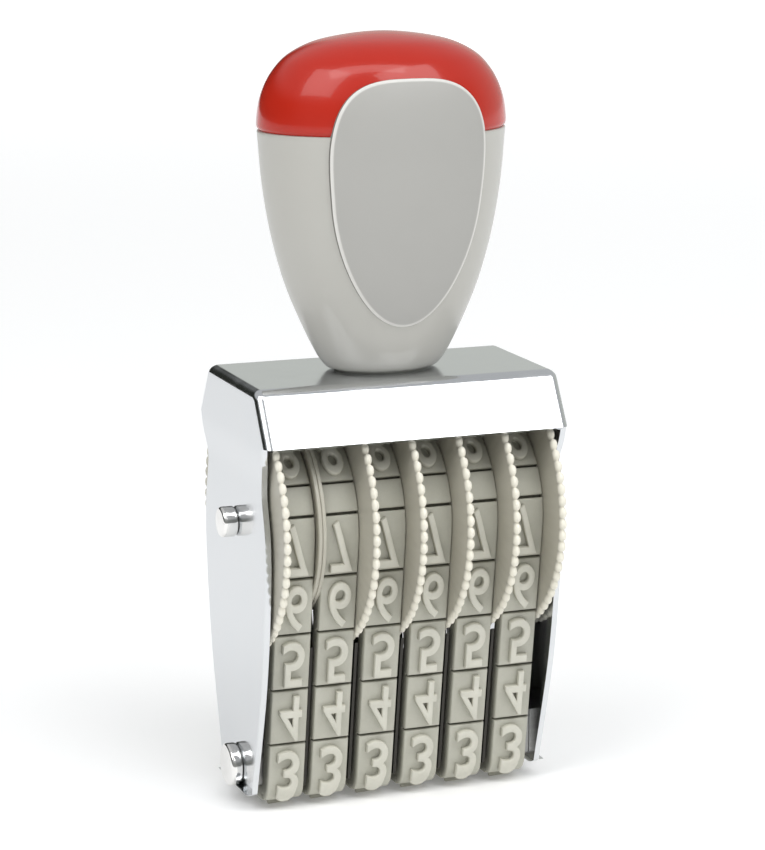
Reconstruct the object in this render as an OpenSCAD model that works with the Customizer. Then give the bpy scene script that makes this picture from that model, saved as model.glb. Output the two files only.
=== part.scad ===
// Hand stamp with six rubber number bands in a folded sheet frame.
// X runs across the bands, the front is -Y, and Z = 0 is the printing face.

/* [Frame] */
// Height of the top plate above the printing face
frame_height = 60; // [55:0.5:75]
// Lean of the two valances from the vertical, in degrees
valance_lean = 32.2; // [32:0.2:38]
// How far each valance drops below the top plate
valance_drop = 7.2; // [5:0.1:8]
// Thickness of the folded sheet
sheet = 0.8; // [0.6:0.1:1]
// Outer radius of the folds along the sides of the top plate
fold_radius = 1.5; // [1:0.1:2.5]
// Depth of a side plate at its waist under the valance
waist_depth = 23.8; // [22:0.2:27]
// Depth of a side plate beside the axle
plate_depth = 26.6; // [25:0.2:29]
// Depth of a side plate at its foot
foot_depth = 14; // [13:0.2:18]
// Gap between the side plates' feet and the printing face
foot_lift = 2; // [1.5:0.1:3]

/* [Wheels] */
// Radius of the axle inside the wheels
axle_radius = 2; // [1.5:0.1:2.5]
// Outer radius of the beaded thumb rims, over the beads
rim_radius = 18.1; // [15:0.1:22]
// Thickness of a thumb rim
rim_thickness = 0.8; // [0.6:0.1:1]
// Radius of one bead on a thumb rim
bead_radius = 0.62; // [0.5:0.02:0.8]
// Number of beads round a thumb rim
bead_count = 68; // [48:1:72]
// How far the smooth flange on a wheel's other side stands above the blocks
flange_stand = 1.5; // [0.5:0.1:2.5]
// Thickness of the smooth flange
flange_thickness = 0.3; // [0.2:0.05:0.5]
// Radius of the band seat inside the loop
seat_radius = 10; // [8:0.1:12]

/* [Bands] */
// Width of a band's printing blocks, which sets the width of the whole stamp
block_width = 5.4; // [4:0.1:7]
// Thickness of the loop under the blocks
loop_thickness = 1.1; // [0.8:0.1:1.4]
// Height of a block above the loop
block_rise = 1; // [0.6:0.1:1.2]
// Height of a numeral above its block
numeral_rise = 0.9; // [0.5:0.1:1.2]
// Length of the one short blank cell
short_cell = 3.8; // [3:0.1:5]
// Width of the groove between blocks
groove = 0.35; // [0.2:0.05:0.6]
// Width of a numeral
numeral_width = 3.1; // [2.5:0.1:4]
// Length of a numeral
numeral_length = 6.6; // [5:0.1:7]
// Width of a numeral's strokes
stroke_width = 0.75; // [0.5:0.05:1]

/* [Bridge] */
// Half the flat length of the bar under the printing cell
bar_flat_half = 3.7; // [3.5:0.1:4.5]
// Corner radius that the loop turns round on the bar
bar_corner = 0.9; // [0.6:0.1:1.4]
// Height of the bar
bar_height = 6.8; // [5:0.1:8]
// Height of the rod's centre above the underside of the bar
rod_offset = 2.3; // [2:0.1:3.5]
// Radius of the rod
rod_radius = 1.5; // [1:0.1:1.7]
// Thickness of a partition plate
partition_thickness = 0.4; // [0.3:0.05:0.5]

/* [Heads] */
// Radius of the axle's heads outside the plates
axle_head_radius = 2.1; // [2:0.1:3]
// Length of the axle's heads
axle_head_length = 2.2; // [1.5:0.1:4]
// Radius of the rod's heads outside the plates
rod_head_radius = 3; // [2.5:0.1:3.2]
// Length of the rod's heads
rod_head_length = 1.7; // [1:0.1:3]
// Radius of the axle where it passes through the plates
axle_end_radius = 1.5; // [1:0.1:1.8]

/* [Handle] */
// Height of the handle above the top plate
handle_height = 46; // [40:1:55]
// Greatest half width of the handle
handle_half_width = 17.4; // [15:0.5:21]
// Half width of the handle's neck
neck_half_width = 7.5; // [7:0.1:9]
// Depth of the handle as a part of its width
handle_flatness = 0.76; // [0.7:0.01:1]
// Height of the joint between the grip and its cap above the top plate
cap_joint = 33; // [30:0.5:36]
// Wall of the grip and its cap
handle_wall = 2; // [1.5:0.1:3]
// Height of the label above the top plate, at its centre
label_centre = 23.7; // [23:0.5:26]
// Half the label's height
label_half_height = 16.8; // [12:0.5:18]
// Half the label's width
label_half_width = 11.4; // [8:0.2:12]
// Thickness of a label
label_thickness = 0.8; // [0.6:0.1:1.2]
// Radius of the screw's shank
screw_radius = 2; // [1.5:0.1:2.5]
// Radius of the screw's flat head
screw_head_radius = 3.6; // [3:0.1:5]
// Thickness of the screw's flat head
screw_head_height = 0.7; // [0.5:0.1:1]
// Length of the threaded insert
insert_length = 10; // [8:0.5:14]
// Outer radius of the threaded insert
insert_radius = 3.2; // [3:0.1:4]

/* [Hidden] */

band_total = 6;
running_gap = 0.05;         // radial gap of the wheels on the axle
slip_gap = 0.03;            // radial gap of fixed pins in their holes
seat_gap = 0.3;             // gap between a wheel's hub and its band
side_gap = 0.05;            // gap on each side of a block in its channel
wheel_gap = 0.15;           // gap between neighbouring wheels
bar_gap = 0.05;             // gap between the bar and the loops
rim_headroom = 0.4;         // gap between the thumb rims and the screw's head
valance_gap = 0.45;         // gap between the thumb rims and the valances
washer_thickness = 0.4;     // washers between the outer wheels and the plates
over = 1;                   // how far a cutting shape runs past a face
round_fn = 96;

channel_width = block_width + 2 * side_gap;
wheel_width = flange_thickness + channel_width + rim_thickness;
wheel_pitch = wheel_width + wheel_gap;
stack_width = band_total * wheel_pitch - wheel_gap;
stack_left = -stack_width / 2;
washer_radius = 2 * axle_radius;
inner_half = stack_width / 2 + washer_thickness + 2 * running_gap;
half_width = inner_half + sheet;
frame_width = 2 * half_width;

axle_height = frame_height - sheet - screw_head_height - rim_headroom - rim_radius;
flange_radius = seat_radius + loop_thickness + block_rise + flange_stand;
// Half depth of a valance's outer face at a height, on a line that clears the thumb rims.
function valance_half(height) =
    (rim_radius + valance_gap + sheet - (height - axle_height) * sin(valance_lean)) / cos(valance_lean);
top_depth = 2 * valance_half(frame_height);
valance_depth = 2 * valance_half(frame_height - valance_drop);

// The first wheel has its thumb rim on the left, the others on the right.
function wheel_left(n) = stack_left + (n - 1) * wheel_pitch;
function channel_left(n) = wheel_left(n) + (n == 1 ? rim_thickness : flange_thickness);
function channel_right(n) = channel_left(n) + channel_width;
function band_left(n) = channel_left(n) + side_gap;
function band_centre(n) = band_left(n) + block_width / 2;

// Numerals upwards from the printing cell along the front; -1 is a blank cell.
cell_numerals = [2, 3, 4, 5, 6, 7, 8, 9, -1, -1, -1, -1, 0, 1];
cell_count = len(cell_numerals);

// The loop's path: flat over the bar, round its corners, straight, round the wheel.
block_level = loop_thickness + block_rise;
numeral_level = block_level + numeral_rise;
bar_bottom = numeral_level;
corner_height = bar_bottom + bar_corner;
rod_height = bar_bottom + rod_offset;
centre_rise = axle_height - corner_height;
centre_distance = norm([bar_flat_half, centre_rise]);
run_lean = asin((seat_radius - bar_corner) / centre_distance) - atan(bar_flat_half / centre_rise);
run_length = sqrt(centre_distance ^ 2 - (seat_radius - bar_corner) ^ 2);
path_level = loop_thickness / 2;
degree = PI / 180;
corner_length = (90 - run_lean) * degree * (bar_corner + path_level);
seat_length = (180 + 2 * run_lean) * degree * (seat_radius + path_level);
loop_length = 2 * (bar_flat_half + corner_length + run_length) + seat_length;
cell = (loop_length - short_cell) / cell_count;
run_start = bar_flat_half + corner_length;
run_end = run_start + run_length;

short_after = 6;            // the short blank cell follows this many full cells

function cell_middle(i) = i * cell + (i < short_after ? 0 : short_cell);
function cell_seam(i) = (i + 0.5) * cell + (i < short_after ? 0 : short_cell);
seams = [for (i = [0 : cell_count - 1]) cell_seam(i), (short_after - 0.5) * cell];

// Angle of the outward normal above the front horizontal at a length along the loop.
function half_normal(s) =
    s < bar_flat_half ? -90
    : s < run_start ? -90 + (s - bar_flat_half) / (bar_corner + path_level) / degree
    : s < run_end ? -run_lean
    : -run_lean + (s - run_end) / (seat_radius + path_level) / degree;
function normal_angle(s) =
    s <= loop_length / 2 ? half_normal(s) : 180 - half_normal(loop_length - s);

// Point [y, z] of the path on the loop's inner face.
function half_point(s) =
    s < bar_flat_half ? [-s, bar_bottom]
    : s < run_start ? [-bar_flat_half, corner_height] + bar_corner * direction(half_normal(s))
    : s < run_end ? [-bar_flat_half, corner_height] + bar_corner * direction(-run_lean)
        + (s - run_start) * direction(90 - run_lean)
    : [0, axle_height] + seat_radius * direction(half_normal(s));
function direction(angle) = [-cos(angle), sin(angle)];
function mirrored(p) = [-p[0], p[1]];
function path_point(s) =
    s <= loop_length / 2 ? half_point(s) : mirrored(half_point(loop_length - s));

// Strokes of each numeral on a grid one wide and one high.
numeral_strokes = [
    [[0.3, 0], [0, 0.2], [0, 0.8], [0.3, 1], [0.7, 1], [1, 0.8], [1, 0.2], [0.7, 0], [0.3, 0]],
    [[0.2, 0.8], [0.55, 1], [0.55, 0]],
    [[0, 0.8], [0.3, 1], [0.7, 1], [1, 0.8], [1, 0.6], [0, 0], [1, 0]],
    [[0, 0.85], [0.3, 1], [0.7, 1], [1, 0.8], [0.6, 0.55], [1, 0.3], [0.7, 0], [0.3, 0], [0, 0.15]],
    [[0.7, 0], [0.7, 1], [0, 0.3], [1, 0.3]],
    [[1, 1], [0.1, 1], [0.1, 0.55], [0.7, 0.6], [1, 0.35], [0.7, 0], [0.3, 0], [0, 0.15]],
    [[0.9, 0.95], [0.4, 0.9], [0, 0.4], [0.3, 0], [0.7, 0], [1, 0.3], [0.6, 0.55], [0.1, 0.4]],
    [[0, 1], [1, 1], [0.35, 0]],
    [[0.5, 0.55], [0.1, 0.8], [0.5, 1], [0.9, 0.8], [0.5, 0.55], [0, 0.25], [0.5, 0], [1, 0.25], [0.5, 0.55]],
    [[0.1, 0.05], [0.6, 0.1], [1, 0.6], [0.7, 1], [0.3, 1], [0, 0.7], [0.4, 0.45], [0.9, 0.6]]];

// Side plate outline below the valance: [height, half depth], with a guide point at each end.
plate_points = [
    [frame_height - valance_drop + 3, valance_depth / 2 + 0.5],
    [frame_height - valance_drop, valance_depth / 2],
    [frame_height - valance_drop - 2.6, valance_depth / 2 - 1.6],
    [frame_height - valance_drop - 6.4, waist_depth / 2],
    [axle_height, plate_depth / 2],
    [axle_height - 8, plate_depth / 2 - 0.1],
    [axle_height - 21, (2 * plate_depth + foot_depth) / 6],
    [foot_lift + 2.6, foot_depth / 2],
    [foot_lift + 0.7, foot_depth / 2 - 0.7],
    [foot_lift, foot_depth / 2 - 2.6],
    [foot_lift, foot_depth / 2 - 4]];

// Handle outline: [height, half width] as parts of the whole, with a guide point at each end.
handle_points = [
    [-0.04, 0.35], [0, neck_half_width / handle_half_width], [0.045, 0.526], [0.139, 0.652],
    [0.265, 0.789], [0.407, 0.893], [0.554, 0.96], [0.69, 0.992], [0.75, 1], [0.82, 0.966],
    [0.887, 0.875], [0.941, 0.724], [0.98, 0.46], [1, 0], [0.98, -0.46]];
smooth_steps = 2;

// Curve through the points, from the second to the last but one.
function blend(a, b, c, d, t) =
    0.5 * (2 * b + (c - a) * t + (2 * a - 5 * b + 4 * c - d) * t ^ 2 + (3 * b - a - 3 * c + d) * t ^ 3);
function smooth(points) = [
    for (i = [1 : len(points) - 3], k = [0 : smooth_steps - 1])
        blend(points[i - 1], points[i], points[i + 1], points[i + 2], k / smooth_steps),
    points[len(points) - 2]];
plate_side = concat([[frame_height, top_depth / 2]], smooth(plate_points));
handle_side = [for (p = smooth(handle_points)) [max(p[1], 0) * handle_half_width, p[0] * handle_height]];

module across(width) {
    rotate([90, 0, 90])
        linear_extrude(width) children();
}

module along_x(x, z, radius, length) {
    translate([x, 0, z])
        rotate([0, 90, 0]) cylinder(r = radius, h = length, $fn = round_fn);
}

module plate_outline() {
    polygon([
        for (p = plate_side) [p[1], p[0]],
        for (i = [len(plate_side) - 1 : -1 : 0]) [-plate_side[i][1], plate_side[i][0]]]);
}

module hood_outline() {
    inner_shift = sheet / cos(valance_lean);
    hood_bottom = frame_height - valance_drop;
    hood_top = frame_height - sheet;
    lower = valance_half(hood_bottom) - inner_shift;
    upper = valance_half(hood_top) - inner_shift;
    polygon([[-lower, hood_bottom], [-upper, hood_top], [upper, hood_top], [lower, hood_bottom]]);
}

module frame_shell() {
    color("silver")
    difference() {
        intersection() {
            translate([-half_width, 0, 0]) across(frame_width) plate_outline();
            translate([0, valance_depth, 0])
                rotate([90, 0, 0]) linear_extrude(2 * valance_depth) fold_outline();
        }
        translate([-inner_half, 0, 0]) across(2 * inner_half) hood_outline();
        translate([-inner_half, -valance_depth, -over])
            cube([2 * inner_half, 2 * valance_depth, frame_height - valance_drop + over]);
        along_x(-half_width - over, axle_height, axle_end_radius + slip_gap, frame_width + 2 * over);
        along_x(-half_width - over, rod_height, rod_radius + slip_gap, frame_width + 2 * over);
        translate([0, 0, frame_height - sheet - over])
            cylinder(r = screw_radius + slip_gap, h = sheet + 2 * over, $fn = round_fn);
    }
}

module fold_outline() {
    translate([-half_width, 0]) square([frame_width, frame_height - fold_radius]);
    translate([-half_width + fold_radius, 0]) square([frame_width - 2 * fold_radius, frame_height]);
    for (side = [-1, 1])
        translate([side * (half_width - fold_radius), frame_height - fold_radius])
            circle(r = fold_radius, $fn = round_fn);
}

module loop_outline(level) {
    tangent_top = (seat_radius + level) * direction(-run_lean) + [0, axle_height];
    tangent_low = (bar_corner + level) * direction(-run_lean) + [-bar_flat_half, corner_height];
    bottom = [-bar_flat_half, corner_height - bar_corner - level];
    translate([0, axle_height]) circle(r = seat_radius + level, $fn = round_fn);
    for (side = [-1, 1])
        translate([side * bar_flat_half, corner_height]) circle(r = bar_corner + level, $fn = round_fn);
    polygon([
        tangent_top, tangent_low, [-bar_flat_half, corner_height], bottom,
        mirrored(bottom), [bar_flat_half, corner_height], mirrored(tangent_low), mirrored(tangent_top),
        [0, axle_height]]);
}

module numeral_shape(number) {
    points = [for (p = numeral_strokes[number])
        [(p[0] - 0.5) * (numeral_width - stroke_width), (p[1] - 0.5) * (numeral_length - stroke_width)]];
    for (i = [0 : len(points) - 2]) {
        span = points[i + 1] - points[i];
        translate(points[i])
            rotate(atan2(span[1], span[0]))
                translate([-stroke_width / 2, -stroke_width / 2])
                    square([norm(span) + stroke_width, stroke_width]);
    }
}

module numerals() {
    for (i = [0 : cell_count - 1])
        if (cell_numerals[i] >= 0) {
            point = path_point(cell_middle(i));
            translate([0, point[0], point[1]])
                rotate([-90 - normal_angle(cell_middle(i)), 0, 0])
                    translate([0, 0, -numeral_level - over])
                        linear_extrude(numeral_rise + over + block_rise / 2) numeral_shape(cell_numerals[i]);
        }
}

module band(n) {
    color([0.7, 0.7, 0.64])
    translate([band_centre(n), 0, 0]) {
        difference() {
            translate([-block_width / 2, 0, 0]) across(block_width)
                difference() {
                    loop_outline(block_level);
                    loop_outline(0);
                }
            for (s = seams) {
                point = path_point(s);
                translate([-block_width / 2 - over, point[0], point[1]])
                    rotate([-90 - normal_angle(s), 0, 0])
                        translate([0, -groove / 2, -block_level - over])
                            cube([block_width + 2 * over, groove, block_rise + over]);
            }
        }
        intersection() {
            numerals();
            translate([-block_width / 2, 0, 0]) across(block_width)
                difference() {
                    loop_outline(numeral_level);
                    loop_outline(block_level);
                }
        }
    }
}

module wheel(n) {
    rim_left = n == 1 ? wheel_left(n) : channel_right(n);
    flange_left = n == 1 ? channel_right(n) : wheel_left(n);
    bead_ring = rim_radius - bead_radius;
    color([0.78, 0.76, 0.7])
    difference() {
        union() {
            along_x(wheel_left(n), axle_height, seat_radius - seat_gap, wheel_width);
            along_x(rim_left, axle_height, bead_ring, rim_thickness);
            along_x(flange_left, axle_height, flange_radius, flange_thickness);
            for (i = [0 : bead_count - 1])
                translate([rim_left, 0, axle_height])
                    rotate([i * 360 / bead_count, 0, 0])
                        translate([0, 0, bead_ring])
                            rotate([0, 90, 0]) cylinder(r = bead_radius, h = rim_thickness, $fn = 24);
        }
        along_x(wheel_left(n) - over, axle_height, axle_radius + running_gap, wheel_width + 2 * over);
    }
}

module wheel_axle() {
    color("lightgray") {
        along_x(-inner_half + running_gap, axle_height, axle_radius, 2 * (inner_half - running_gap));
        along_x(-half_width - axle_head_length / 2, axle_height, axle_end_radius,
            frame_width + axle_head_length);
        along_x(-half_width - axle_head_length, axle_height, axle_head_radius, axle_head_length);
    }
}

module axle_end_head() {
    color("lightgray")
    end_head(axle_height, axle_head_radius, axle_head_length, axle_end_radius, axle_head_length / 2);
}

module end_head(height, radius, length, pin_radius, pin_length) {
    difference() {
        along_x(half_width, height, radius, length);
        along_x(half_width - over, height, pin_radius + slip_gap, pin_length + slip_gap + over);
    }
}

module axle_washer(left) {
    color("lightgray")
    difference() {
        along_x(left, axle_height, washer_radius, washer_thickness);
        along_x(left - over, axle_height, axle_radius + running_gap, washer_thickness + 2 * over);
    }
}

module bar_outline() {
    top = bar_bottom + bar_height;
    bottom = bar_bottom + bar_gap;
    half = bar_flat_half + bar_corner - bar_gap;
    translate([-half, corner_height]) square([2 * half, top - corner_height]);
    translate([-bar_flat_half, bottom]) square([2 * bar_flat_half, top - bottom]);
    for (side = [-1, 1])
        translate([side * bar_flat_half, corner_height]) circle(r = bar_corner - bar_gap, $fn = round_fn);
}

module bridge_bar() {
    color("gray")
    difference() {
        translate([-inner_half + bar_gap, 0, 0]) across(2 * (inner_half - bar_gap)) bar_outline();
        along_x(-inner_half - over, rod_height, rod_radius + slip_gap, 2 * (inner_half + over));
    }
}

module bridge_rod() {
    color("lightgray") {
        along_x(-half_width - rod_head_length / 2, rod_height, rod_radius, frame_width + rod_head_length);
        along_x(-half_width - rod_head_length, rod_height, rod_head_radius, rod_head_length);
    }
}

module rod_end_head() {
    color("lightgray")
    end_head(rod_height, rod_head_radius, rod_head_length, rod_radius, rod_head_length / 2);
}

module partition(n) {
    middle = (band_left(n) + block_width + band_left(n + 1)) / 2;
    edge_level = loop_thickness;
    rim_clearance = 0.5;
    notch_half = bar_flat_half + bar_corner;
    color("silver")
    translate([middle - partition_thickness / 2, 0, 0]) across(partition_thickness)
        difference() {
            loop_outline(edge_level);
            translate([0, axle_height]) circle(r = rim_radius + rim_clearance, $fn = round_fn);
            translate([-notch_half, -over])
                square([2 * notch_half, bar_bottom + bar_height + bar_gap + over]);
            translate([-frame_width, -over]) square([2 * frame_width, bar_bottom + over]);
        }
}

module handle_half(wall, side) {
    inner = [for (p = handle_side) if (p[1] > wall && p[1] < handle_height - wall && p[0] > 2 * wall)
        [p[0] - wall, p[1]]];
    outline = wall == 0 ? handle_side
        : concat([[inner[0][0], wall]], inner, [[0, inner[len(inner) - 1][1]]]);
    translate([0, 0, frame_height])
        scale([1, handle_flatness, 1])
            rotate(side > 0 ? 0 : 180)
                rotate_extrude(angle = 180, $fn = round_fn)
                    polygon(concat([[0, outline[0][1]]], outline));
}

module handle_solid(wall) {
    for (side = [-1, 1])
        handle_half(wall, side);
}

module handle_slice(bottom, top) {
    translate([-frame_width, -frame_width, frame_height + bottom])
        cube([2 * frame_width, 2 * frame_width, top - bottom]);
}

module label_column(side, growth) {
    steps = 48;
    narrowing = 0.16;       // how much narrower the label's lower half is than its upper
    points = [for (k = [0 : steps - 1])
        let (angle = k * 360 / steps)
        [(label_half_width + growth) * cos(angle) * (1 + narrowing * sin(angle)),
         frame_height + label_centre + (label_half_height + growth) * sin(angle)]];
    translate([0, side > 0 ? frame_width : 0, 0])
        rotate([90, 0, 0]) linear_extrude(frame_width) polygon(points);
}

module grip_shell() {
    difference() {
        handle_solid(0);
        handle_solid(handle_wall);
        for (side = [-1, 1])
            difference() {
                label_column(side, slip_gap);
                handle_half(label_thickness + slip_gap, side);
            }
    }
}

module handle_body() {
    boss_radius = insert_radius + 1.6;
    boss_height = insert_length + 3;
    color([0.76, 0.76, 0.73])
    difference() {
        union() {
            intersection() {
                grip_shell();
                handle_slice(-over, cap_joint);
            }
            translate([0, 0, frame_height + handle_wall / 2])
                cylinder(r = boss_radius, h = boss_height - handle_wall / 2, $fn = round_fn);
        }
        translate([0, 0, frame_height - over])
            cylinder(r = insert_radius + slip_gap, h = insert_length + slip_gap + over, $fn = round_fn);
    }
}

module handle_cap() {
    lip_depth = 3;
    lip_wall = 1.2;
    lip_gap = 0.15;
    widths = [for (p = handle_side) [p[1], p[0]]];
    joint_width = lookup(cap_joint, widths);
    lip_foot_width = lookup(cap_joint - lip_depth, widths);
    lip_radius = min(joint_width, lip_foot_width) - handle_wall - lip_gap;
    color([0.8, 0.16, 0.12])
    union() {
        intersection() {
            grip_shell();
            handle_slice(cap_joint, handle_height + over);
        }
        translate([0, 0, frame_height + cap_joint])
            difference() {
                union() {
                    translate([0, 0, -lip_depth]) flat_round(lip_radius, 2 * lip_depth);
                    flat_round(joint_width - handle_wall + lip_gap, lip_depth);
                }
                translate([0, 0, -lip_depth - over])
                    flat_round(lip_radius - lip_wall, 2 * (lip_depth + over));
            }
    }
}

module flat_round(radius, height) {
    scale([1, handle_flatness, 1]) cylinder(r = radius, h = height, $fn = round_fn);
}

module label(side) {
    color([0.72, 0.72, 0.71])
    intersection() {
        label_column(side, 0);
        difference() {
            handle_half(0, side);
            handle_half(label_thickness, side);
        }
    }
}

module handle_insert() {
    color("goldenrod")
    translate([0, 0, frame_height])
        difference() {
            cylinder(r = insert_radius, h = insert_length, $fn = round_fn);
            translate([0, 0, -over])
                cylinder(r = screw_radius + slip_gap, h = insert_length + 2 * over, $fn = round_fn);
        }
}

module handle_screw() {
    head_top = frame_height - sheet;
    color("gray") {
        translate([0, 0, head_top - screw_head_height])
            cylinder(r = screw_head_radius, h = screw_head_height, $fn = round_fn);
        translate([0, 0, head_top - screw_head_height / 2])
            cylinder(r = screw_radius, h = sheet + insert_length, $fn = round_fn);
    }
}

frame_shell();
handle_body();
handle_cap();
label(-1);  // front_label
label(1);  // rear_label
handle_insert();
handle_screw();
wheel_axle();
axle_end_head();
axle_washer(-inner_half + running_gap);  // axle_washer_left
axle_washer(inner_half - running_gap - washer_thickness);  // axle_washer_right
wheel(1);  // wheel_1
wheel(2);  // wheel_2
wheel(3);  // wheel_3
wheel(4);  // wheel_4
wheel(5);  // wheel_5
wheel(6);  // wheel_6
band(1);  // band_1
band(2);  // band_2
band(3);  // band_3
band(4);  // band_4
band(5);  // band_5
band(6);  // band_6
bridge_bar();
bridge_rod();
rod_end_head();
partition(1);  // partition_1
partition(2);  // partition_2
partition(3);  // partition_3
partition(4);  // partition_4
partition(5);  // partition_5
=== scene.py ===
from math import asin, atan, atan2, cos, degrees, hypot, pi, radians, sin, sqrt, tan

import bmesh
import bpy
from mathutils import Euler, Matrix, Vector


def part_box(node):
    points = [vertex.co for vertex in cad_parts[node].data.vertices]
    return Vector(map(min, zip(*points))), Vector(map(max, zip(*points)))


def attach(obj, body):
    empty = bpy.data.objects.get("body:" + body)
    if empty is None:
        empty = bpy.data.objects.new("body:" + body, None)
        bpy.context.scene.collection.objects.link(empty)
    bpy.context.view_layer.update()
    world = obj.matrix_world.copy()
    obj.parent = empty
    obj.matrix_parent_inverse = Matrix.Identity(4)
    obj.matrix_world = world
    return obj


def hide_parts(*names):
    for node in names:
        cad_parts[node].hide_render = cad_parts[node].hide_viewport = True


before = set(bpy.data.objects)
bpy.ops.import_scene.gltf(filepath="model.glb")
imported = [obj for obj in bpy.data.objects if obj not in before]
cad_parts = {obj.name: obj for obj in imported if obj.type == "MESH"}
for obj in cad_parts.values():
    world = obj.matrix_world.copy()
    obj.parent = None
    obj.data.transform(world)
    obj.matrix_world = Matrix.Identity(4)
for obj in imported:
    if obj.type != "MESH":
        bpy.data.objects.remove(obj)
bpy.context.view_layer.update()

mm = 0.001
scene = bpy.context.scene


# The studio camera. It stands left of the stamp's front and a little above it, far enough
# back that the upright edges stay nearly parallel.
camera_turn = radians(20.75)
camera_tilt = radians(12)
camera_reach = 400 * mm
aim_height = 60 * mm
aim_right = 0.1 * mm
aim_up = -8.05 * mm

bpy.ops.object.camera_add()
camera = bpy.context.object
camera.name = "studio_camera"
camera.rotation_euler = Euler((pi / 2 - camera_tilt, 0, -camera_turn))
look = camera.rotation_euler.to_matrix()
camera.location = Vector((0, 0, aim_height)) + look @ Vector((aim_right, aim_up, camera_reach))
camera.data.sensor_fit = "HORIZONTAL"
camera.data.sensor_width = 36
camera.data.lens = 136.7
camera.data.clip_start = 20 * mm
camera.data.clip_end = 20
scene.camera = camera
scene.view_settings.view_transform = "Standard"


# Shader maths as plain sums. A Wire is one output of a node, and a Bench is the node tree
# that a finish, or the studio's sky, is put together on.
class Wire:
    def __init__(self, bench, socket):
        self.bench = bench
        self.socket = socket

    def joined(self, operation, *values):
        return self.bench.add("ShaderNodeMath", {"operation": operation}, dict(enumerate(values)))

    def __add__(self, other):
        return self.joined("ADD", self, other)

    def __mul__(self, other):
        return self.joined("MULTIPLY", self, other)

    __radd__ = __add__
    __rmul__ = __mul__


class Bench:
    def __init__(self, tree):
        self.tree = tree

    def add(self, kind, settings=None, sockets=None, output=0):
        made = self.tree.nodes.new(kind)
        for name, value in (settings or {}).items():
            if name == "stops":
                ramp = made.color_ramp
                while len(ramp.elements) < len(value):
                    ramp.elements.new(1)
                for element, (place, colour) in zip(ramp.elements, value):
                    element.position = place
                    element.color = colour
            else:
                setattr(made, name, value)
        for name, value in (sockets or {}).items():
            self.plug(made.inputs[name], value)
        return Wire(self, made.outputs[output])

    def plug(self, socket, value):
        if isinstance(value, Wire):
            self.tree.links.new(value.socket, socket)
        else:
            socket.default_value = value

    def between(self, value, low, high, to_low=0, to_high=1):
        """A value's soft step from one level to another as it goes from low to high."""
        return self.add("ShaderNodeMapRange", {"interpolation_type": "SMOOTHSTEP"},
                        {0: value, 1: low, 2: high, 3: to_low, 4: to_high})

    def blended(self, share, first, second):
        """A colour between two colours."""
        return self.add("ShaderNodeMix", {"data_type": "RGBA"}, {0: share, 6: first, 7: second}, 2)


def paint(red, green, blue):
    """A colour as it is read off a paint card, from 0 to 255, for a shader socket."""
    card = [part / 255 for part in (red, green, blue)]
    return [part / 12.92 if part <= 0.04045 else ((part + 0.055) / 1.055) ** 2.4
            for part in card] + [1]


# The studio: a pale sweep of floor under a wide white canopy of light. Low down the room is
# mid grey in front of the stamp, and behind it dark on the left and pale on the right. The
# chrome mirrors all of it.
world = bpy.data.worlds.new("studio")
scene.world = world
world.use_nodes = True
sky = Bench(world.node_tree)
direction = sky.add("ShaderNodeTexCoord")
split = sky.add("ShaderNodeSeparateXYZ", {}, {0: direction})
across, backward, rise = (Wire(sky, socket) for socket in split.socket.node.outputs)
canopy = sky.between(rise, 0.3, 0.55)
left_end = sky.between(across, 0.13, 0.27, 1, 0)
far_end = sky.blended(left_end, paint(205, 208, 203), paint(46, 48, 44))
farness = sky.between(backward, -0.5, 0.1)
low_band = sky.blended(farness, paint(140, 142, 140), far_end)
background = world.node_tree.nodes["Background"]
sky.plug(background.inputs["Color"], sky.blended(canopy, low_band, (0.58, 0.59, 0.6, 1)))
background.inputs["Strength"].default_value = 1


def finish_named(name, **constants):
    """A new material, with what is the same all over it set on the shader's own sockets."""
    material = bpy.data.materials.new(name)
    material.use_nodes = True
    shader = material.node_tree.nodes["Principled BSDF"]
    for socket, value in constants.items():
        shader.inputs[socket.replace("_", " ")].default_value = value
    return material, Bench(material.node_tree), shader


floor_size = 12
bpy.ops.mesh.primitive_plane_add(size=floor_size)
floor = bpy.context.object
floor.name = "floor"

floor_paint, bench, shader = finish_named("floor_paint", Roughness=0.6, Emission_Strength=1)
spot = bench.add("ShaderNodeTexCoord", output=3)
reach = bench.add("ShaderNodeVectorMath", {"operation": "LENGTH"}, {0: spot}, 1)
glow = bench.blended(bench.between(reach, 0.15, 1.6),
                     (0.13, 0.13, 0.13, 1), (0.55, 0.55, 0.55, 1))
bench.plug(shader.inputs["Emission Color"], glow)
mottle = bench.add("ShaderNodeTexNoise", {}, {"Scale": 1.5, "Detail": 2})
bench.plug(shader.inputs["Base Color"],
           bench.blended(mottle, (0.93, 0.93, 0.93, 1), (0.95, 0.95, 0.95, 1)))
floor.data.materials.append(floor_paint)


def softbox(name, place, width, height, power):
    """A rectangle of diffused light, turned to face the middle of the stamp."""
    bpy.ops.object.light_add(type="AREA", location=place)
    lamp = bpy.context.object
    lamp.name = name
    lamp.data.shape = "RECTANGLE"
    lamp.data.size = width
    lamp.data.size_y = height
    lamp.data.energy = power
    facing = Vector((0, 0, aim_height)) - Vector(place)
    lamp.rotation_euler = facing.to_track_quat("-Z", "Y").to_euler()


softbox("front_box", (0.48, -0.82, 1.1), 1, 0.6, 7)
softbox("left_box", (-0.78, -0.4, 1), 0.75, 0.75, 5.5)
softbox("long_box", (-0.12, -0.5, 1.2), 1.1, 0.3, 3.2)


# The frame: one piece of steel sheet, folded down at both sides and at the front and rear,
# and chromed. The two valances lean out over the thumb wheels, and the side plates narrow
# to a waist below them. It carries both pins in plain punched holes.
def deselect():
    if bpy.context.object and bpy.context.object.mode == "EDIT":
        bpy.ops.object.mode_set(mode="OBJECT")
    bpy.ops.object.select_all(action="DESELECT")


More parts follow.
